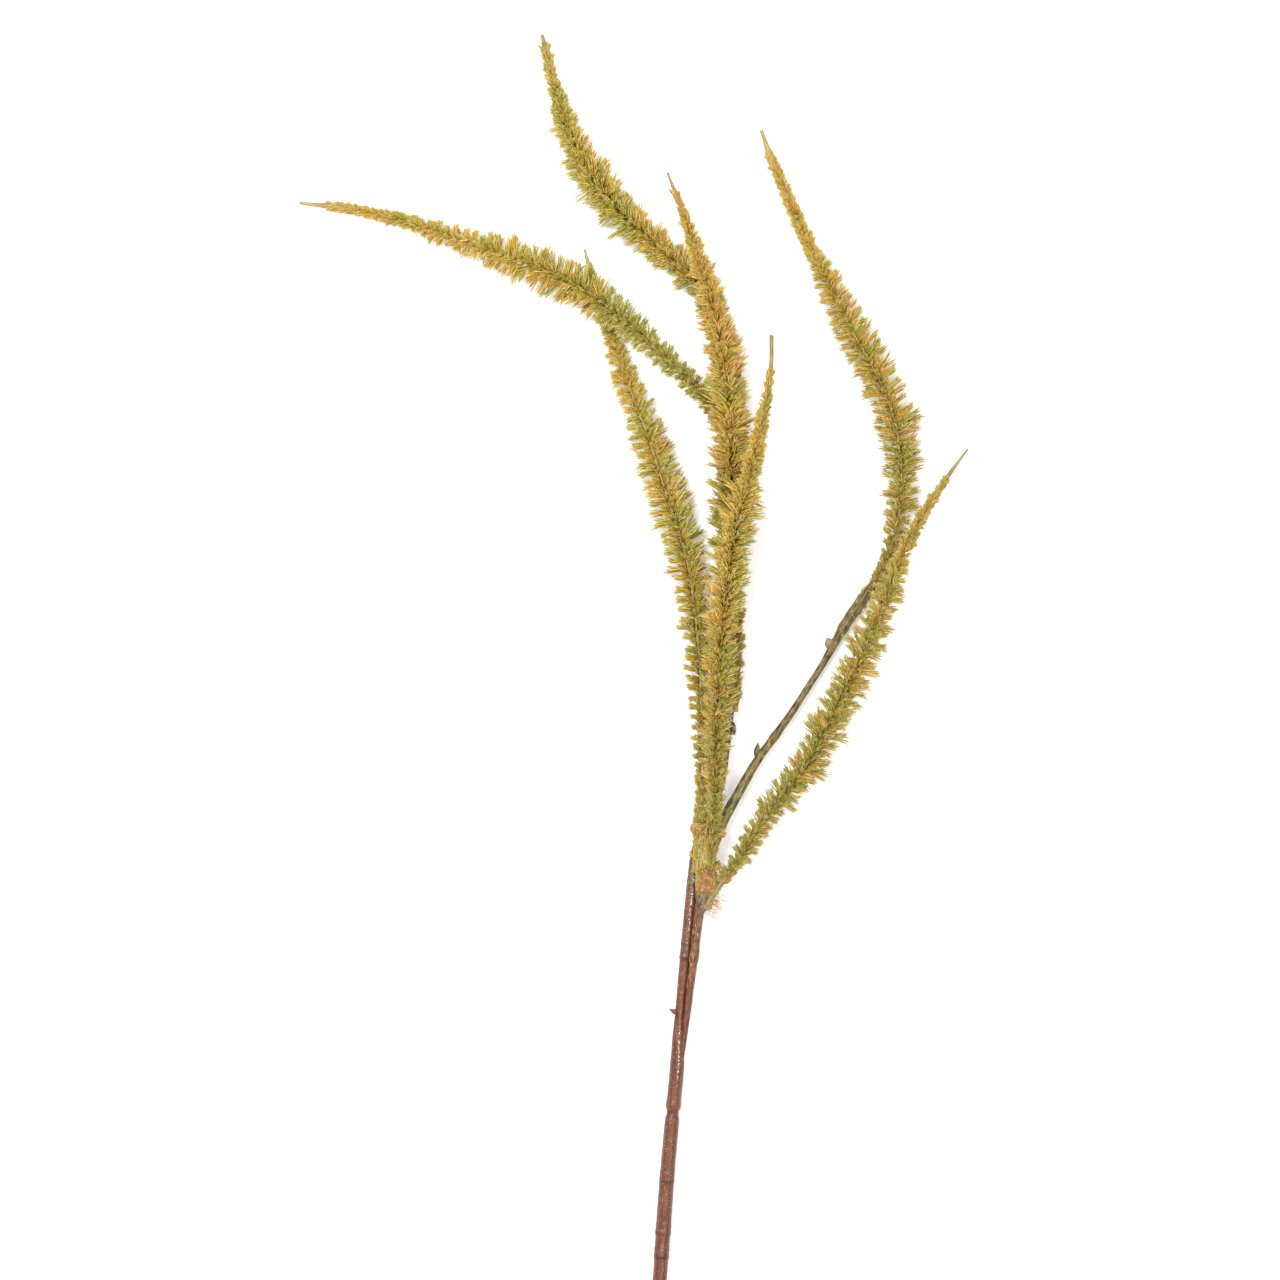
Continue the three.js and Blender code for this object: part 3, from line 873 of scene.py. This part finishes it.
def leaflet_material():
    """Soft fern leaflets, a little dried: satin, olive or gold, paler and more russet at their ends."""
    _, tree, shader = made = new_material("soft_fern_leaflet", 0.42)
    paint = settings("colours")
    out, rib, tint = numbers_of(tree, attribute(tree, "leaf"))
    climb, green, warm = numbers_of(tree, attribute(tree, "place"))
    own = add(tree, "ShaderNodeCombineXYZ", {0: rib, 1: tint, 2: warm}).outputs[0]
    random = add(tree, "ShaderNodeTexWhiteNoise", {0: own}).outputs[0]
    gold = three_tones(tree, out, 0xD2AA3C, paint.gold, 0xE2C46C)
    olive = three_tones(tree, out, 0xB8B03A, paint.olive, 0xCCC266)
    russet = three_tones(tree, out, 0xD49C40, paint.russet, 0xEEC488)
    body = layered(
        tree,
        gold,
        (green, 0.35, 0.65, 1, olive),
        (warm, 0.55, 0.85, 0.85, russet),
        (climb, 0.85, 1.0, 0.3, 0xC8A868),
        (climb, 1.1, 1.4, 0.8, 0xE6CDB4),
    )
    body = mix(tree, 1.0, body, ramp(tree, climb, 0.1, 0.7, 0.82, 1.0), "MULTIPLY")
    # Painted highlights: a few strands are painted pale cream, as if catching the light.
    body = layered(tree, body, (random, 0.84, 0.95, 0.6, 0xEEDC9C))
    body = mix(tree, 1.0, body, ramp(tree, random, 0, 0.8, 0.66, 1.12), "MULTIPLY")
    # Painted highlights: pale glint spots as fine as a leaflet's teeth; the same noise sets the roughness,
    # from glossy to satin.
    glint_specks = mottle(tree, add(tree, "ShaderNodeTexCoord").outputs["Object"], 0.8, detail=1.0)
    tree.links.new(ramp(tree, glint_specks, 0.35, 0.65, 0.3, 0.6), shader.inputs["Roughness"])
    return finished(made, layered(tree, body, (glint_specks, 0.62, 0.7, 0.8, 0xF6ECCC)))


def rachis_material():
    """A fern's stalk: a smooth, hard, straw-coloured skin, with fine ridges along it."""
    _, tree, _ = made = new_material("smooth_straw_stalk", 0.42)
    grain = mottle(tree, attribute(tree, "straight"), 0.5, stretch=(1, 0.12, 1))
    body = two_tones(tree, grain, 0x9E8440, settings("colours").stalk, 0.2)
    tip = two_tones(tree, grain, 0x6E5C2C, 0xA48C54, 0.2)
    return finished(made, mix(tree, attribute(tree, "mark", "Fac"), body, tip), grain, 0.2)


def bark_material():
    """Smooth young bark: reddish brown, with fine fibres, pale flecks, dark joints, a gloss, a painted line
    of white highlights and painted shade on its flanks.
    """
    _, tree, _ = made = new_material("smooth_reddish_bark", 0.34)
    paint = settings("colours")
    straight = attribute(tree, "straight")
    across, along, height = numbers_of(tree, straight)
    fibre = mottle(tree, straight, 0.9, stretch=(1, 0.07, 1))
    cloud = mottle(tree, straight, 6, stretch=(1, 0.3, 1))
    fleck = mottle(tree, straight, 0.5, detail=1.0, stretch=(1, 0.6, 1))
    body = layered(
        tree,
        two_tones(tree, fibre, paint.bark_dark, paint.bark_light, 0.2),
        (cloud, 0.4, 0.7, 0.5, 0x74401F),
        (fleck, 0.6, 0.72, 0.55, 0xC6A08C),
        (along, 226 * MM, 246 * MM, 1, mix(tree, ramp(tree, fleck, 0.55, 0.68), 0x5A3A22, 0xC4A680)),
    )
    # A painted highlight: a broken line of white glints on the stem's upper face, where the side stem lies
    # against
    # this one: over its foot, and again below the crown.
    ends = [ramp(tree, along, low * MM, high * MM) for low, high in ((142, 147), (172, 167))]
    foot = reckon(tree, "MULTIPLY", *ends)
    painted_glint = reckon(tree, "MAXIMUM", foot, ramp(tree, along, 205 * MM, 214 * MM))
    for value, low, high, top in (
        (across, 0.0, 0.4 * MM, 1),
        (across, 1.2 * MM, 0.8 * MM, 1),
        (fleck, 0.55, 0.63, 0.85),
        (height, 0.0, 1.0 * MM, 1),
    ):
        painted_glint = reckon(tree, "MULTIPLY", painted_glint, ramp(tree, value, low, high, 0, top))
    body = mix(tree, painted_glint, body, 0xF2E6DC)
    # Painted shade: the flanks of the stem, turned away from above, are darkened.
    body = layered(tree, body, (sideways(tree, straight), 0.7, 0.98, 0.6, 0x3C2016))
    return finished(made, mix(tree, attribute(tree, "mark", "Fac"), body, 0x3A2018), fibre, 0.25)


def green_bark_material():
    """Young green bark: ribbed along its length, reddish at its foot and olive above the crown."""
    _, tree, _ = made = new_material("ribbed_olive_bark", 0.45)
    paint = settings("colours")
    straight = attribute(tree, "straight")
    along = numbers_of(tree, straight)[1]
    fibre = mottle(tree, straight, 0.8, stretch=(1, 0.22, 1))
    fleck = mottle(tree, straight, 1.2, detail=4.0, stretch=(1, 0.5, 1))
    body = layered(
        tree,
        two_tones(tree, fibre, 0x4A2610, 0x8A5A32),
        (along, 84 * MM, 100 * MM, 1, two_tones(tree, fibre, 0x4A4818, 0x88843A)),
        (along, 128 * MM, 150 * MM, 1, two_tones(tree, fibre, 0x3A2A0E, paint.side_stem)),
    )
    body = mix(tree, attribute(tree, "mark", "Fac"), body, 0xB48E78)
    reddish = two_tones(tree, fibre, paint.bark_dark, paint.bark_light, 0.2)
    body = layered(
        tree,
        body,
        (fleck, 0.6, 0.68, 0.5, 0xC4AE7C),
        (fleck, 0.4, 0.32, 0.6, 0x4C3D1E),
        (along, 38 * MM, 30 * MM, 1, reddish),
        # Painted shade: the flanks of the side stem, turned away from above, are darkened.
        (sideways(tree, straight), 0.75, 1.0, 0.6, 0x34280E),
    )
    return finished(made, body, fibre, 0.4)


def sheath_material():
    """Dry leaf bases: fibrous, yellow green above and grey brown below, with pale threads."""
    _, tree, _ = made = new_material("fibrous_leaf_sheath", 0.55)
    straight = attribute(tree, "straight")
    thread = mottle(tree, straight, 0.7, detail=4.0, stretch=(1, 0.1, 1))
    cloud = mottle(tree, straight, 3.5, stretch=(1, 0.5, 1))
    speck = mottle(tree, straight, 0.6, detail=1.0)
    body = layered(
        tree,
        two_tones(tree, thread, 0x7E6424, settings("colours").sheath),
        (cloud, 0.45, 0.6, 0.8, 0x9A9438),
        (cloud, 0.42, 0.3, 0.8, 0xB0763A),
        (speck, 0.6, 0.68, 0.75, 0xE0CE98),
        (speck, 0.4, 0.33, 0.6, 0x5E4A1C),
        (numbers_of(tree, straight)[1], 12 * MM, 9 * MM, 1, two_tones(tree, thread, 0x4B3A2A, 0x8F7A5E)),
    )
    return finished(made, body, thread, 0.5)


def bract_material():
    """A papery bract: thin, dry and orange brown, with fine veins and paler patches."""
    _, tree, _ = made = new_material("papery_bract", 0.5)
    place = add(tree, "ShaderNodeTexCoord").outputs["Object"]
    vein = mottle(tree, place, 0.6, stretch=(1, 0.15, 1))
    body = two_tones(tree, vein, 0x70481C, settings("colours").bract)
    body = layered(tree, body, (mottle(tree, place, 2), 0.5, 0.65, 0.7, 0xC09450))
    return finished(made, body, vein, 0.3)


def floor_material():
    """A studio's light table: matt white acrylic, lit faintly from below, so that shadows stay soft."""
    _, tree, shader = made = new_material("lit_white_acrylic", 0.6)
    cloud = mottle(tree, add(tree, "ShaderNodeTexCoord").outputs["Object"], 200)
    shader.inputs["Emission Color"].default_value = (1, 1, 1, 1)
    shader.inputs["Emission Strength"].default_value = 0.26
    return finished(made, two_tones(tree, cloud, settings("colours").floor, 0xFBFAF8, 0.2))


# ---- operators


def even(line, step):
    """Distances along a whole line, about a step apart."""
    return np.linspace(0, line.length, int(line.length / step))


class FROND_OT_stems(bpy.types.Operator):
    """Grow the main stem with its joints, and the side stem with its ribs and buds"""

    bl_idname = "frond.stems"
    bl_label = "Stems"

    def execute(self, context):
        self.main_stem()
        self.side_stem()
        return {"FINISHED"}

    def main_stem(self):
        line = stem_line(MAIN_STEM)
        rings = [(at, 1) for at, _ in JOINTS]

        def radius(angle, along):
            swell = joined(JOINTS, 1.3, along) + 0.05 * joined(rings, 1.6, along, 3.2)
            rough = 0.05 * ridges(angle, along, 2.4, 30) + 0.03 * ridges(angle, along, 6, 9)
            return line.at(along)[1] * (1 + swell + rough)

        def mark(angle, along):
            broken = 0.8 + 1.2 * ridges(angle, along, 1.6, 9)
            return np.clip(joined(rings, 0.7, along, -0.6) * broken, 0, 0.95)

        bm = bmesh.new()
        skin(bm, line, even(line, settings("sizes").stem_ring), STEM_SIDES, radius, mark)
        blob(bm, (15, 88, 6.4), (1.9, 3.2, 2.1), -0.15, 320)
        blob(bm, (-14.4, -53.4, 7.2), (1.25, 2.6, 1.1), math.radians(65), 178)
        new_piece("main_stem_bark", bm, bark_material(), ["main_stem"])

    def side_stem(self):
        line = stem_line(SIDE_STEM)

        def radius(angle, along):
            rough = 0.12 * ridges(angle, along, 2.6, 16) + 0.1 * ridges(angle, along, 6, 6)
            return line.at(along)[1] * (1 + joined(SIDE_JOINTS, 2.5, along) + rough)

        bm = bmesh.new()
        skin(bm, line, even(line, settings("sizes").stem_ring), STEM_SIDES, radius)
        blob(bm, (27.2, 77.6, 6.8), (1.4, 3.4, 1.5), -0.15, 165)
        blob(bm, (63.4, 131.2, 4.8), (2.5, 2.5, 2.2), 0.5, 232, 0.55)
        new_piece("side_stem_bark", bm, green_bark_material(), ["side_stem"])


class FROND_OT_rachises(bpy.types.Operator):
    """Draw out the stalk of each spike, from its foot to its furled tip"""

    bl_idname = "frond.rachises"
    bl_label = "Rachises"

    def execute(self, context):
        material = rachis_material()
        for spike, habit in HABITS.items():
            line = spike_line(spike)

            def radius(angle, along):
                ridges = np.cos(5 * angle + 0.15 * along / MM) * 0.06 + np.cos(9 * angle) * 0.03
                return rachis_radius(habit, line, along) * (1 + ridges)

            def mark(angle, along):
                share = along / line.length
                foot = smooth(1, 2, habit.foot / MM) * smooth(0.3, 0.1, share)
                return np.maximum(habit.dull_tip * smooth(0.8, 0.95, share), 0.9 * foot)

            bm = bmesh.new()
            skin(bm, line, even(line, RACHIS_RING), RACHIS_SIDES, radius, mark)
            new_piece(f"{spike}_stalk", bm, material, [f"{spike}_rachis"])
        return {"FINISHED"}


class FROND_OT_leaflets(bpy.types.Operator):
    """Grow the leaflets and filaments of each spike"""

    bl_idname = "frond.leaflets"
    bl_label = "Leaflets"

    def execute(self, context):
        material = leaflet_material()
        for seed, spike in enumerate(HABITS):
            grow_spike(spike, seed, material)
        return {"FINISHED"}


class FROND_OT_crown(bpy.types.Operator):
    """Wrap the crown in its sheath, rings of leaflets and papery bract"""

    bl_idname = "frond.crown"
    bl_label = "Crown"

    def execute(self, context):
        line = stem_line(SHEATH)
        self.sheath(line)
        self.leaflets(line)
        self.bract()
        return {"FINISHED"}

    def sheath(self, line):
        def radius(angle, along):
            rough = 0.16 * ridges(angle, along, 2.2, 20) + 0.1 * ridges(angle, along, 7, 8)
            return line.at(along)[1] * (1 + rough) * (1 - 0.1 * np.sin(angle) ** 2)

        bm = bmesh.new()
        skin(bm, line, even(line, SHEATH_RING), SHEATH_SIDES, radius)
        new_piece("crown_sheath_fibres", bm, sheath_material(), ["crown_sheath"])

    def leaflets(self, line):
        """Two rings of leaflets round the sheath, short scales between them, and a fringe below."""
        rng = np.random.default_rng(CROWN_SEED)
        foliage = Foliage(rng)
        for middle, spread, number, size, lean, warm, green in CROWN_RINGS:
            along = (middle + rng.normal(0, spread, number)) * MM
            turns = rng.uniform(-0.4, math.pi + 0.4, number)
            centre, forward, outward = line.around(along, turns)
            foot = centre + outward * (0.92 * line.at(along)[1])[:, None]
            leans = rng.normal(math.radians(lean), 0.25, number)
            frames = leaflet_frames(foot, forward, outward, leans, rng.normal(0, 0.5, number))
            place = np.clip((0.3, green, warm) + rng.normal(0, 0.15, (number, 3)), 0, 1)
            length = size * MM * rng.uniform(0.6, 1.15, number)
            width = settings("sizes").leaflet_half_width * rng.uniform(0.6, 1, number)
            foliage.add_leaflets(frames, length, width, place)
        self.fringe(foliage)
        foliage.finish("crown_leaflets", leaflet_material(), ["crown_sheath"])

    def fringe(self, foliage):
        """A pale fuzz and a few short leaflets where the lowest spike leaves the crown."""
        rng = foliage.rng
        number, few = 90, 5
        foot = (CROWN + (5, 1, 11) + rng.normal(0, 1, (number, 3)) * (2.2, 4.0, 1.5)) * MM
        aim = np.tile(unit(np.array([1.0, -0.35, 0.1])), (number, 1))
        outward = unit(rng.normal(0, 1, (number, 3)))
        frames = leaflet_frames(foot, aim, outward, rng.uniform(0.2, 1, number), np.zeros(number))
        place = np.tile((1.35, 0.0, 0.2), (number, 1))
        foliage.add_filaments(frames, rng.uniform(3, 6, number) * MM, place)
        frames = [part[:few] for part in frames]
        place = place[:few] * (0.3, 1, 3)
        foliage.add_leaflets(frames, np.full(few, 3.6 * MM), np.full(few, 0.7 * MM), place)

    def bract(self):
        bm = bmesh.new()
        bmesh.ops.create_grid(bm, x_segments=14, y_segments=18, size=1)
        for v in bm.verts:
            x, y = v.co.x, v.co.y
            breadth = 0.94 - 0.1 * y - 0.35 * max(abs(y) - 0.5, 0) + 0.16 * noise.noise(Vector((x, y * 3, 2)))
            ripple = noise.noise(Vector((x * 4, y * 1.2, 0)))
            v.co.x = 4.0 * x * breadth
            v.co.y = 5.6 * y + 1.9 * noise.noise(Vector((x * 4.5, 5, 0))) * y**3
            v.co.z = -1.9 * x**2 + 0.7 * ripple + 0.9 * max(-y, 0) ** 3
        bmesh.ops.solidify(bm, geom=bm.faces[:], thickness=settings("sizes").bract_thickness / MM)
        bmesh.ops.recalc_face_normals(bm, faces=bm.faces[:])
        place = Matrix.Translation((Vector(CROWN) + Vector((1.3, 12, 18.2))) * MM)
        matrix = place @ Matrix.Rotation(-0.1, 4, "Z") @ Matrix.Scale(MM, 4)
        bmesh.ops.transform(bm, matrix=matrix, verts=bm.verts)
        new_piece("crown_papery_bract", bm, bract_material(), ["crown_bract"])


class FROND_OT_stage(bpy.types.Operator):
    """Lay the pale floor, and set the soft lights and the camera that looks straight down"""

    bl_idname = "frond.stage"
    bl_label = "Stage"

    def execute(self, context):
        scene = context.scene
        scene.view_settings.view_transform = "Standard"
        studio = settings("studio")
        bm = bmesh.new()
        bmesh.ops.create_grid(bm, x_segments=1, y_segments=1, size=FLOOR_HALF_WIDTH)
        mesh = bpy.data.meshes.new("floor")
        bm.to_mesh(mesh)
        bm.free()
        mesh.materials.append(floor_material())
        new_object("floor", mesh)
        scene.world = bpy.data.worlds.new("studio")
        scene.world.use_nodes = True
        sky = scene.world.node_tree.nodes["Background"].inputs
        sky["Color"].default_value = (1, 1, 1, 1)
        sky["Strength"].default_value = studio.sky
        for name, place, size, power in (
            ("key", (-0.6, 0.6, 2.3), 0.7, studio.key),
            ("fill", (0.9, -0.2, 2.2), 0.9, studio.fill),
        ):
            lamp = bpy.data.lights.new(name, "AREA")
            lamp.size = size
            lamp.energy = power
            holder = new_object(name, lamp)
            holder.location = place
            holder.rotation_euler = Vector(place).to_track_quat("Z", "Y").to_euler()
        camera = bpy.data.cameras.new("camera")
        camera.lens = LENS
        camera.sensor_width = SENSOR
        scene.camera = new_object("camera", camera)
        x, y, z = LOOK_AT
        scene.camera.location = (x, y, studio.view * LENS / SENSOR + z)
        return {"FINISHED"}


class FROND_PT_main(bpy.types.Panel):
    """The frond's settings, and a button for each group of its pieces"""

    bl_idname = "FROND_PT_main"
    bl_label = "Fern Frond"
    bl_space_type = "VIEW_3D"
    bl_region_type = "UI"
    bl_category = "Frond"

    def draw(self, context):
        for kind, group in SETTINGS.items():
            column = self.layout.column()
            for setting in group.__annotations__:
                column.prop(settings(kind), setting)
        for cls in OPERATORS:
            self.layout.operator(cls.bl_idname)


LEAFLETS = [leaflet(seed) for seed in range(LEAFLET_KINDS)]
FILAMENT = filament()
OPERATORS = (FROND_OT_stems, FROND_OT_rachises, FROND_OT_leaflets, FROND_OT_crown, FROND_OT_stage)
SETTINGS = {"sizes": FROND_PG_sizes, "colours": FROND_PG_colours, "studio": FROND_PG_studio}
CLASSES = (*SETTINGS.values(), *OPERATORS, FROND_PT_main)


def register():
    for cls in CLASSES:
        bpy.utils.register_class(cls)
    for kind, group in SETTINGS.items():
        setattr(bpy.types.Scene, f"frond_{kind}", bpy.props.PointerProperty(type=group))


def unregister():
    for kind in SETTINGS:
        delattr(bpy.types.Scene, f"frond_{kind}")
    for cls in reversed(CLASSES):
        bpy.utils.unregister_class(cls)


def main():
    register()
    bpy.ops.frond.stems()
    bpy.ops.frond.rachises()
    bpy.ops.frond.leaflets()
    bpy.ops.frond.crown()
    bpy.ops.frond.stage()


if __name__ == "__main__":
    main()
